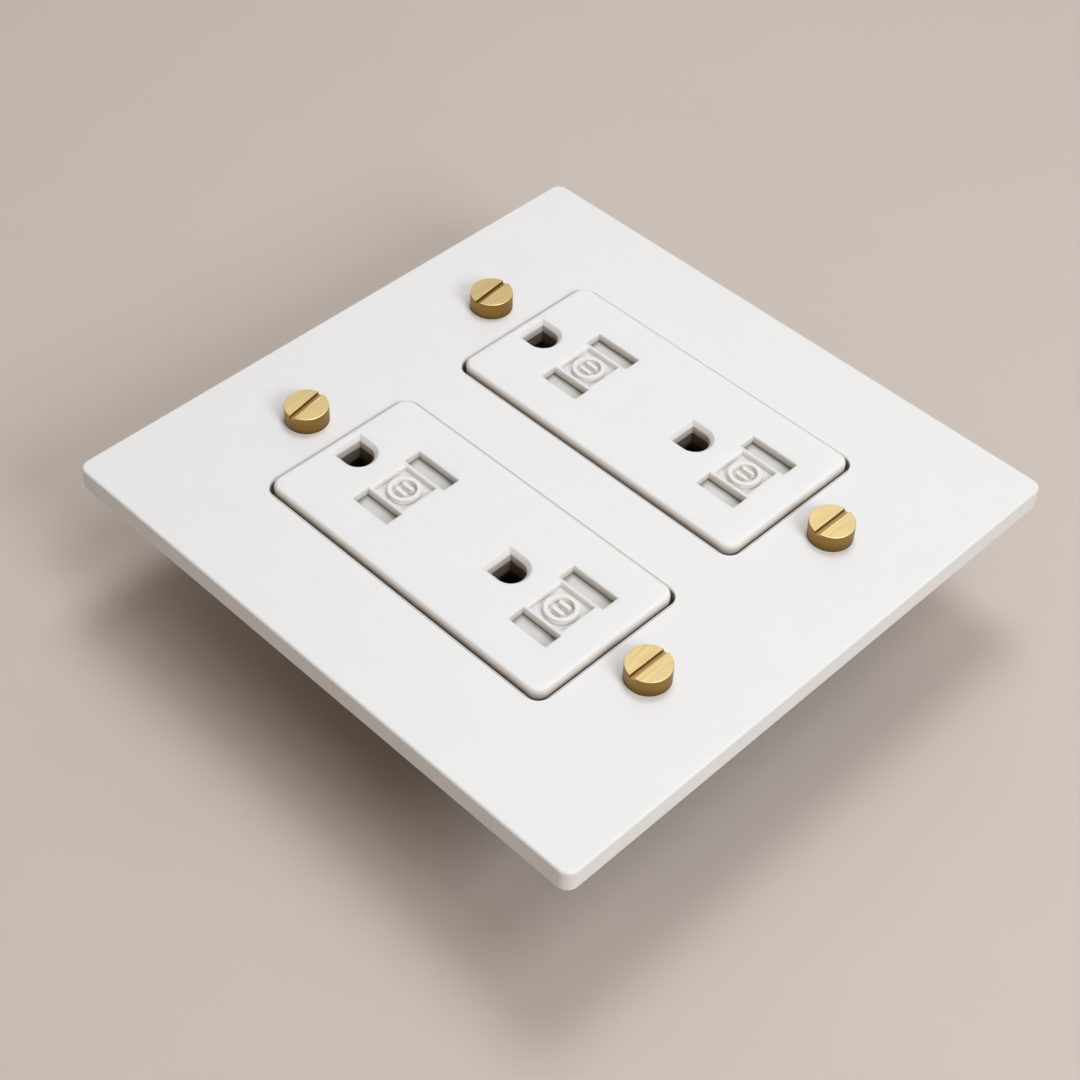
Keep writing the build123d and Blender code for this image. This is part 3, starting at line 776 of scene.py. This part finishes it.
# Dark warm grey glass-filled nylon moulding: dull, with a fine mottle from the fibres near its skin; its
# darkness is partly painted shade for the depth of the ground holes
CARRIER_PLASTIC = Finish(
    name="warm_grey_nylon",
    colour="#6e6254",
    shade="#61564b",
    roughness=0.5,
    roughness_spread=0.08,
    grain_mm=0.35,
    relief_mm=0.004,
    mottle_mm=1.2,
    ior=1.53,
)

# Dark thermoset moulding: flow marks and a dull, fine-pitted skin
HOUSING_PLASTIC = Finish(
    name="dark_thermoset_moulding",
    colour="#3b3530",
    shade="#302b27",
    roughness=0.48,
    roughness_spread=0.09,
    grain_mm=0.4,
    relief_mm=0.008,
    mottle_mm=5.0,
    ior=1.55,
)

# Solid brass, turned and then brushed across the top: satin gold with fine lines. Real lines are near
# 0.04 mm apart, drawn at 0.3 mm so that they show
SCREW_BRASS = TurnedBrass(
    name="brushed_brass",
    colour="#c3b58a",
    shade="#ae9b69",
    roughness=0.47,
    roughness_spread=0.09,
    relief_mm=0.005,
    metallic=1.0,
    anisotropic=0.3,
    line_mm=(6.0, 0.3, 0.3),
)

# Cold-rolled brass strip: satin, with long rolling lines and slight tarnish. Real lines are finer
CONTACT_BRASS = LinedFinish(
    name="rolled_brass_strip",
    colour="#bb9a5c",
    shade="#9a7a46",
    roughness=0.4,
    roughness_spread=0.08,
    relief_mm=0.004,
    mottle_mm=6.0,
    metallic=1.0,
    line_mm=(0.3, 9.0, 0.3),
)

# Hot-dip galvanised steel strip: grey crystals a few millimetres wide, some paler than others
STRAP_STEEL = SpangledZinc(
    name="galvanised_steel",
    colour="#b4b8bb",
    shade="#989da1",
    roughness=0.4,
    roughness_spread=0.1,
    grain_mm=0.6,
    relief_mm=0.006,
    mottle_mm=2.6,
    metallic=1.0,
)

# Zinc-plated steel, tumbled: even pale grey with small rubbed marks
PLATED_STEEL = Finish(
    name="zinc_plated_steel",
    colour="#b9bbbc",
    shade="#9fa1a3",
    roughness=0.34,
    roughness_spread=0.1,
    grain_mm=0.35,
    relief_mm=0.004,
    mottle_mm=1.4,
    metallic=1.0,
)

# Hard-drawn stainless spring strip: bright, drawn along its length. Real lines are finer
SPRING_STEEL = LinedFinish(
    name="drawn_spring_steel",
    colour="#c3c2be",
    shade="#a7a5a0",
    roughness=0.28,
    roughness_spread=0.08,
    relief_mm=0.003,
    mottle_mm=2.0,
    metallic=1.0,
    line_mm=(3.0, 3.0, 0.25),
)

# Nickel-plated steel, turned: warm silver with rings from the tool. Real rings are finer
TERMINAL_NICKEL = LinedFinish(
    name="nickel_plated_screw",
    colour="#cfc9bb",
    shade="#b3ad9f",
    roughness=0.27,
    roughness_spread=0.08,
    relief_mm=0.004,
    mottle_mm=2.0,
    metallic=1.0,
    line_mm=(0.3, 4.0, 4.0),
)

# Brass-plated steel, turned: yellower than the plate's screws and brighter. Real rings are finer
TERMINAL_BRASS = LinedFinish(
    name="brass_plated_screw",
    colour="#cfa648",
    shade="#b0862f",
    roughness=0.27,
    roughness_spread=0.08,
    relief_mm=0.004,
    mottle_mm=2.0,
    metallic=1.0,
    line_mm=(0.3, 4.0, 4.0),
)

# Steel dipped in green lacquer: a coloured film over metal, uneven in thickness
GROUND_GREEN = Finish(
    name="green_lacquered_screw",
    colour="#2f7a3c",
    shade="#1f5f2e",
    roughness=0.33,
    roughness_spread=0.08,
    grain_mm=0.5,
    relief_mm=0.005,
    mottle_mm=1.6,
    metallic=0.55,
)

# Black closed-cell rubber, die cut: dull, with pores of about 0.45 mm
GASKET_RUBBER = CellFoam(
    name="black_cell_rubber",
    colour="#23211f",
    shade="#191817",
    roughness=0.82,
    roughness_spread=0.08,
    grain_mm=0.45,
    relief_mm=0.05,
    mottle_mm=6.0,
    ior=1.52,
)

# Red-brown vulcanised fibre, punched: felted cotton fibres under a calendered skin
RETAINER_FIBRE = LinedFinish(
    name="vulcanised_fibre",
    colour="#84402f",
    shade="#6b3226",
    roughness=0.62,
    roughness_spread=0.1,
    relief_mm=0.01,
    mottle_mm=1.8,
    line_mm=(2.4, 0.35, 0.35),
)


@dataclass(frozen=True)
class SlottedScrew:
    """One plate screw: a tall slotted head, a relieved neck and a rolled thread."""

    head_diameter_mm: float = 8.1
    head_foot_mm: float = 4.8
    head_top_mm: float = 8.25
    head_edge_mm: float = 0.15
    slot_width_mm: float = 1.0
    slot_depth_mm: float = 0.6
    slot_edge_share: float = 0.3
    neck_diameter_mm: float = 2.9
    thread_top_mm: float = -1.2
    thread_end_mm: float = -16.0
    thread_diameter_mm: float = 3.5
    thread_depth_mm: float = 0.43
    thread_pitch_mm: float = 0.79
    thread_steps: int = 36
    thread_spare_turns: int = 2
    tip_chamfer_mm: float = 0.6
    arc_steps: int = 44

    def add_head(self, bm: bmesh.types.BMesh, weight: bmesh.types.BMLayerItem) -> None:
        """Builds the head as one closed skin, with weights on the edges to round.

        Args:
            bm: The mesh that gets the head, in millimetres about the screw's own axis.
            weight: The layer of bevel weights.
        """
        radius = self.head_diameter_mm / 2
        half_slot = self.slot_width_mm / 2
        start = math.asin(half_slot / radius)
        floor = self.head_top_mm - self.slot_depth_mm
        step = (math.pi - 2 * start) / self.arc_steps
        upper = [start + i * step for i in range(self.arc_steps + 1)]
        lower = [math.pi + angle for angle in upper]
        levels = (self.head_foot_mm, floor, self.head_top_mm)
        foot, sill, top = (
            [
                [bm.verts.new((radius * math.cos(a), radius * math.sin(a), z)) for a in arc]
                for arc in (upper, lower)
            ]
            for z in levels
        )
        bm.faces.new(foot[0] + foot[1])
        bm.faces.new([sill[0][0], sill[0][-1], sill[1][0], sill[1][-1]])
        for here, other in ((0, 1), (1, 0)):
            bm.faces.new(top[here])
            bm.faces.new([sill[here][0], sill[here][-1], top[here][-1], top[here][0]])
            bm.faces.new([foot[here][-1], foot[other][0], sill[other][0], sill[here][-1]])
            for low, high in ((foot, sill), (sill, top)):
                for i in range(self.arc_steps):
                    bm.faces.new([low[here][i], low[here][i + 1], high[here][i + 1], high[here][i]])
            for i in range(self.arc_steps):
                bm.edges.get((top[here][i], top[here][i + 1]))[weight] = 1.0
            first, last = top[here][0], top[here][-1]
            for pair in ((first, last), (sill[here][0], first), (sill[here][-1], last)):
                bm.edges.get(pair)[weight] = self.slot_edge_share

    def add_neck(self, bm: bmesh.types.BMesh) -> None:
        """Builds the plain neck between head and thread.

        Args:
            bm: The mesh that gets the neck.
        """
        length = self.head_foot_mm - self.thread_top_mm
        bmesh.ops.create_cone(
            bm,
            cap_ends=False,
            segments=self.thread_steps,
            radius1=self.neck_diameter_mm / 2,
            radius2=self.neck_diameter_mm / 2,
            depth=length,
            matrix=Matrix.Translation((0, 0, self.thread_top_mm + length / 2)),
        )

    def add_thread(self, bm: bmesh.types.BMesh) -> None:
        """Builds the thread as a grid whose rows climb along the helix.

        Args:
            bm: The mesh that gets the thread.
        """
        crest = self.thread_diameter_mm / 2
        root = crest - self.thread_depth_mm
        profile = (root, root, (root + crest) / 2, crest, crest, (root + crest) / 2)
        per_turn = len(profile)
        turns = math.ceil((self.thread_top_mm - self.thread_end_mm) / self.thread_pitch_mm)
        rows = per_turn * (turns + self.thread_spare_turns)
        grid = []
        for i in range(self.thread_steps):
            share = i / self.thread_steps
            column = []
            for j in range(-per_turn, rows):
                drop = (j / per_turn + share) * self.thread_pitch_mm
                z = min(self.thread_top_mm, max(self.thread_end_mm, self.thread_top_mm - drop))
                tip = crest - self.tip_chamfer_mm + (z - self.thread_end_mm)
                radius = min(profile[j % per_turn], tip)
                angle = share * math.tau
                column.append(bm.verts.new((radius * math.cos(angle), radius * math.sin(angle), z)))
            grid.append(column)
        count = rows + per_turn
        for i in range(self.thread_steps):
            wrap = i + 1 == self.thread_steps
            after = grid[0] if wrap else grid[i + 1]
            shift = per_turn if wrap else 0
            for j in range(count - 1 - shift):
                bm.faces.new([grid[i][j], grid[i][j + 1], after[j + 1 + shift], after[j + shift]])

    def make(self) -> bmesh.types.BMesh:
        """Builds the whole screw about its own axis.

        Returns:
            The mesh in millimetres.
        """
        bm = bmesh.new()
        weight = bm.edges.layers.float.new(BEVEL_WEIGHT)
        self.add_head(bm, weight)
        self.add_neck(bm)
        self.add_thread(bm)
        return bm


@dataclass
class WallPlateSet:
    """The wall plate with its gasket, its four screws and their washers."""

    screw: SlottedScrew = field(default_factory=SlottedScrew)
    gang_mm: float = GANG_MM
    screw_y_mm: float = 41.65
    upper_left_turn: float = 10.0
    upper_right_turn: float = 6.0
    lower_turn: float = 0.0

    def screw_places(self) -> list[tuple[float, float, float]]:
        """Gives each screw's x, y and slot turn."""
        gang, y = self.gang_mm, self.screw_y_mm
        return [
            (-gang, y, self.upper_left_turn),
            (gang, y, self.upper_right_turn),
            (-gang, -y, self.lower_turn),
            (gang, -y, self.lower_turn),
        ]

    def build_screws(self) -> bpy.types.Object:
        """Builds the four threaded screws, which stand for the plain CAD ones.

        Returns:
            The piece with all four.
        """
        gathered = bmesh.new()
        gathered.edges.layers.float.new(BEVEL_WEIGHT)
        holder = bpy.data.meshes.new("one_screw")
        for x, y, turn in self.screw_places():
            one = self.screw.make()
            one.transform(Matrix.Translation((x, y, 0)) @ Matrix.Rotation(math.radians(turn), 4, "Z"))
            one.to_mesh(holder)
            one.free()
            gathered.from_mesh(holder)
        bpy.data.meshes.remove(holder)
        piece = object_from(gathered, "threaded_plate_screws")
        round_edges(piece, self.screw.head_edge_mm)
        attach(piece, ROOT_BODY)
        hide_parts("plate_screws")
        return piece

    def build(self) -> None:
        """Builds the screws and dresses the plate, gasket and washers."""
        screws = self.build_screws()
        dress(screws, SCREW_BRASS.make())
        LOG.info("built %s", screws.name)
        for node, finish in (
            ("wall_plate", PLATE_COAT),
            ("wall_gasket", GASKET_RUBBER),
            ("screw_retainers", RETAINER_FIBRE),
        ):
            dress(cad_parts[node], finish.make())
            LOG.info("dressed %s", node)


@dataclass
class Receptacle:
    """One duplex receptacle: its CAD pieces, its springs and the raised marks in the pockets."""

    side: Side
    finishes: Mapping[str, bpy.types.Material]
    gang_mm: float = GANG_MM
    upper_slot_mm: float = 15.95
    lower_slot_mm: float = -22.15
    spring_foot_mm: float = 2.2
    spring_height_mm: float = 1.2
    spring_strip_mm: float = 0.25
    spring_seat_x_mm: float = 13.925
    spring_seat_length_mm: float = 7.0
    spring_bend_mm: float = 1.0
    spring_tip_x_mm: float = 8.95
    spring_tip_rise_mm: float = 6.6
    spring_wall_x_mm: float = 14.05
    spring_keep: float = 0.18
    spring_steps: int = 12
    mark_foot_mm: float = 4.85
    mark_top_mm: float = 5.85
    mark_edge_mm: float = 0.16
    mark_ring_radius_mm: float = 3.05
    mark_stroke_mm: float = 0.85
    mark_bar_x_mm: float = 0.85
    mark_bar_length_mm: float = 2.6
    mark_steps: int = 48

    @property
    def middle_mm(self) -> float:
        """The receptacle's middle along x."""
        return -self.gang_mm if self.side is Side.LEFT else self.gang_mm

    def slot_mm(self, row: Row) -> float:
        """Gives the line of an outlet's blade slots along y."""
        return self.upper_slot_mm if row is Row.UPPER else self.lower_slot_mm

    def spring_path(self, row: Row) -> list[Vector]:
        """Follows the middle of the spring's strip: seat, hairpin and sprung arm.

        Args:
            row: The outlet whose shutter it pushes.

        Returns:
            Points in the frame's xy plane, in millimetres.
        """
        seat = self.middle_mm + self.spring_seat_x_mm
        foot = self.slot_mm(row) - self.spring_seat_length_mm / 2
        bend = self.spring_bend_mm
        points = [Vector((seat, foot + self.spring_seat_length_mm)), Vector((seat, foot))]
        for i in range(1, self.spring_steps + 1):
            angle = -math.pi * i / self.spring_steps
            points.append(Vector((seat - bend + bend * math.cos(angle), foot + bend * math.sin(angle))))
        reach = seat - 2 * bend - (self.middle_mm + self.spring_tip_x_mm)
        radius = (reach**2 + self.spring_tip_rise_mm**2) / (2 * reach)
        sweep = math.asin(self.spring_tip_rise_mm / radius)
        for i in range(1, self.spring_steps + 1):
            angle = sweep * i / self.spring_steps
            x = seat - 2 * bend - radius + radius * math.cos(angle)
            points.append(Vector((x, foot + radius * math.sin(angle))))
        return points

    def build_spring(self, row: Row) -> bpy.types.Object:
        """Builds the leaf spring of an outlet's shutter, in its rest shape.

        Args:
            row: The outlet whose shutter it pushes.

        Returns:
            The piece, which stands for the CAD spring.
        """
        node = f"{self.side.value}_{row.value}_shutter_spring"
        points = self.spring_path(row)
        half = self.spring_strip_mm / 2
        low, high = self.spring_foot_mm, self.spring_foot_mm + self.spring_height_mm
        bm = bmesh.new()
        weight = bm.edges.layers.float.new(BEVEL_WEIGHT)
        sections = []
        for i, here in enumerate(points):
            before, after = points[max(i - 1, 0)], points[min(i + 1, len(points) - 1)]
            along = (after - before).normalized()
            across = Vector((-along.y, along.x)) * half
            inner, outer = here + across, here - across
            corners = ((inner, low), (outer, low), (outer, high), (inner, high))
            sections.append([bm.verts.new((p.x, p.y, z)) for p, z in corners])
        for first, second in zip(sections, sections[1:]):
            for k in range(len(first)):
                after = (k + 1) % len(first)
                bm.faces.new([first[k], first[after], second[after], second[k]])
                bm.edges.get((first[k], second[k]))[weight] = 1.0
        bm.faces.new(sections[0])
        bm.faces.new(sections[-1])
        piece = object_from(bm, f"{node}_leaf")
        round_edges(piece, half / 2, segments=2)
        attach(piece, ROOT_BODY)
        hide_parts(node)
        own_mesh(piece)
        return piece

    def mark_outlines(self) -> list[tuple[list[Point], list[Point]]]:
        """Draws the mark: a ring round two upright bars, as a plain sign for an outlet.

        Returns:
            The outer and inner edge of each stroke about the pocket's middle, in millimetres. A bar has no
            inner edge.
        """
        turns = [math.tau * i / self.mark_steps for i in range(self.mark_steps)]
        radius, half = self.mark_ring_radius_mm, self.mark_stroke_mm / 2
        outer, inner = (
            [(r * math.cos(a), r * math.sin(a)) for a in turns] for r in (radius, radius - 2 * half)
        )
        outlines = [(outer, inner)]
        reach = self.mark_bar_length_mm / 2 - half
        for x in (-self.mark_bar_x_mm, self.mark_bar_x_mm):
            bar = []
            for a in turns:
                end = math.copysign(reach, math.sin(a))
                bar.append((x + half * math.cos(a), end + half * math.sin(a)))
            outlines.append((bar, []))
        return outlines

    def build_mark(self, row: Row) -> bpy.types.Object:
        """Builds the raised mark in an outlet's pocket.

        Args:
            row: The outlet.

        Returns:
            The piece, moulded in one with the cover.
        """
        bm = bmesh.new()
        weight = bm.edges.layers.float.new(BEVEL_WEIGHT)
        for outlines in self.mark_outlines():
            walls = []
            for outline in filter(None, outlines):
                foot, top = (
                    [bm.verts.new((self.middle_mm + x, self.slot_mm(row) + y, z)) for x, y in outline]
                    for z in (self.mark_foot_mm, self.mark_top_mm)
                )
                for i in range(len(outline)):
                    bm.faces.new([foot[i - 1], foot[i], top[i], top[i - 1]])
                    bm.edges.get((top[i - 1], top[i]))[weight] = 1.0
                walls.append((foot, top))
            for level in (0, 1):
                if len(walls) == 1:
                    bm.faces.new(walls[0][level])
                    continue
                outer, inner = walls[0][level], walls[1][level]
                for i in range(len(outer)):
                    bm.faces.new([outer[i - 1], outer[i], inner[i], inner[i - 1]])
        piece = object_from(bm, f"{self.side.value}_{row.value}_pocket_mark")
        round_edges(piece, self.mark_edge_mm)
        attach(piece, ROOT_BODY)
        return piece

    def build(self) -> None:
        """Builds the springs and marks of both outlets."""
        for row in Row:
            pieces = ((self.build_spring(row), "spring_steel"), (self.build_mark(row), "pocket_mark"))
            for piece, finish in pieces:
                dress(piece, self.finishes[finish])
                LOG.info("built %s", piece.name)

    def dress_pieces(self) -> None:
        """Dresses the CAD pieces of this receptacle."""
        slots = {
            "front_cover": "cover_plastic",
            "shutter_carrier": "carrier_plastic",
            "upper_shutter": "shutter_plastic",
            "lower_shutter": "shutter_plastic",
            "mounting_strap": "strap_steel",
            "ground_clips": "contact_brass",
            "ground_rivets": "rivet_steel",
            "neutral_contacts": "contact_brass",
            "hot_contacts": "contact_brass",
            "neutral_terminal_screws": "terminal_nickel",
            "hot_terminal_screws": "terminal_brass",
            "ground_screw": "ground_screw_green",
            "rear_housing": "housing_plastic",
            "assembly_screws": "assembly_steel",
        }
        for name, slot in slots.items():
            node = f"{self.side.value}_{name}"
            dress(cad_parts[node], self.finishes[slot])
            LOG.info("dressed %s", node)


@dataclass
class SoftLamp:
    """One square soft light that points at the plate's middle."""

    name: str
    towards: tuple[float, float, float]
    watts: float
    distance_mm: float = 900.0
    size_mm: float = 320.0
    colour: str = "#f8fbff"

    def build(self) -> None:
        """Hangs the lamp along its direction."""
        lamp = bpy.data.lights.new(self.name, "AREA")
        lamp.shape = "SQUARE"
        lamp.color = linear(self.colour)[:3]
        lamp.size = self.size_mm * MM
        lamp.energy = self.watts
        hung = bpy.data.objects.new(self.name, lamp)
        direction = Vector(self.towards).normalized()
        hung.location = direction * self.distance_mm * MM
        hung.rotation_euler = direction.to_track_quat("Z", "Y").to_euler()
        bpy.context.scene.collection.objects.link(hung)


@dataclass
class Studio:
    """Floor, soft lights and the camera at the photograph's place."""

    floor_z_mm: float = -27.05
    floor_half_mm: float = 3000.0
    floor_finish: Finish = Finish(
        name="pale_matt_board",
        colour="#d1c6bd",
        shade="#cdc2b9",
        roughness=0.8,
        roughness_spread=0.04,
        grain_mm=1.5,
        relief_mm=0.01,
        mottle_mm=60.0,
    )
    ambient: float = 0.22
    background: float = 0.8
    room_colour: str = "#fff1e4"
    lamps: tuple[SoftLamp, ...] = (
        SoftLamp("front_lamp", towards=(0.05, -0.41, 0.91), watts=1.5),
        SoftLamp("low_front_lamp", towards=(-0.1, -0.8, 0.6), watts=3.5),
        SoftLamp("over_lamp", towards=(0.27, 0.15, 0.95), watts=2.95),
        SoftLamp("far_card", towards=(0.55, 0.5, 0.67), watts=0.45, size_mm=500.0),
    )
    eye_mm: tuple[float, float, float] = (-194.79, -177.20, 263.13)
    forward: tuple[float, float, float] = (0.50540577, 0.47226852, -0.72216858)
    right: tuple[float, float, float] = (0.70544998, -0.70809715, 0.03063896)
    focal_px: float = 2103.12
    frame_px: float = 1080.0
    sensor_mm: float = 36.0
    clip_start_mm: float = 10.0

    def build_floor(self) -> None:
        """Lays the pale floor under the backs of the receptacles."""
        half = self.floor_half_mm
        bm = bmesh.new()
        corners = ((-half, -half), (half, -half), (half, half), (-half, half))
        bm.faces.new([bm.verts.new((x, y, self.floor_z_mm)) for x, y in corners])
        floor = object_from(bm, "pale_floor")
        dress(floor, self.floor_finish.make())

    def build_surroundings(self) -> None:
        """Sets the even light of the room, with a pale background where it is seen or mirrored."""
        world = bpy.data.worlds.new("pale_room")
        bpy.context.scene.world = world
        world.use_nodes = True
        tree = world.node_tree
        tree.nodes.clear()
        path = add_node(tree, "ShaderNodeLightPath").outputs
        shown = path["Is Camera Ray"]
        for ray in ("Is Glossy Ray", "Is Transmission Ray"):
            shown = add_node(tree, "ShaderNodeMath", {0: shown, 1: path[ray]}, operation="MAXIMUM").outputs[0]
        strength = add_node(
            tree,
            "ShaderNodeMix",
            {SHARE: shown, NUMBER_A: self.ambient, NUMBER_B: self.background},
            data_type="FLOAT",
        )
        light = add_node(
            tree,
            "ShaderNodeBackground",
            {"Color": linear(self.room_colour), "Strength": strength.outputs[0]},
        )
        add_node(tree, "ShaderNodeOutputWorld", {"Surface": light.outputs[0]})

    def build_camera(self) -> None:
        """Places the camera."""
        lens = bpy.data.cameras.new("photograph_view")
        lens.sensor_width = self.sensor_mm
        lens.sensor_fit = "HORIZONTAL"
        lens.lens = self.focal_px / self.frame_px * self.sensor_mm
        lens.clip_start = self.clip_start_mm * MM
        camera = bpy.data.objects.new("photograph_view", lens)
        right, back = Vector(self.right), -Vector(self.forward)
        up = back.cross(right)
        turn = Matrix((right, up, back)).transposed().to_4x4()
        camera.matrix_world = Matrix.Translation(Vector(self.eye_mm) * MM) @ turn
        bpy.context.scene.collection.objects.link(camera)
        bpy.context.scene.camera = camera

    def build(self) -> None:
        """Builds floor, lights and camera."""
        self.build_floor()
        self.build_surroundings()
        for lamp in self.lamps:
            lamp.build()
        self.build_camera()
        bpy.context.scene.view_settings.view_transform = "Standard"
        LOG.info("set the studio with %d lamps", len(self.lamps))


def receptacle_finishes() -> dict[str, bpy.types.Material]:
    """Makes each finish of the receptacles once, by the record's slot name or the new piece's own."""
    chosen = {
        "cover_plastic": COVER_PLASTIC,
        "pocket_mark": MARK_PLASTIC,
        "carrier_plastic": CARRIER_PLASTIC,
        "shutter_plastic": SHUTTER_PLASTIC,
        "spring_steel": SPRING_STEEL,
        "strap_steel": STRAP_STEEL,
        "contact_brass": CONTACT_BRASS,
        "rivet_steel": PLATED_STEEL,
        "assembly_steel": PLATED_STEEL,
        "terminal_nickel": TERMINAL_NICKEL,
        "terminal_brass": TERMINAL_BRASS,
        "ground_screw_green": GROUND_GREEN,
        "housing_plastic": HOUSING_PLASTIC,
    }
    return {slot: finish.make() for slot, finish in chosen.items()}


def main() -> None:
    """Builds the plate set, both receptacles and the studio, in that order."""
    logging.basicConfig(level=logging.INFO, format="%(name)s: %(message)s")
    WallPlateSet().build()
    finishes = receptacle_finishes()
    for side in Side:
        receptacle = Receptacle(side, finishes)
        receptacle.build()
        receptacle.dress_pieces()
    Studio().build()


if __name__ == "__main__":
    main()
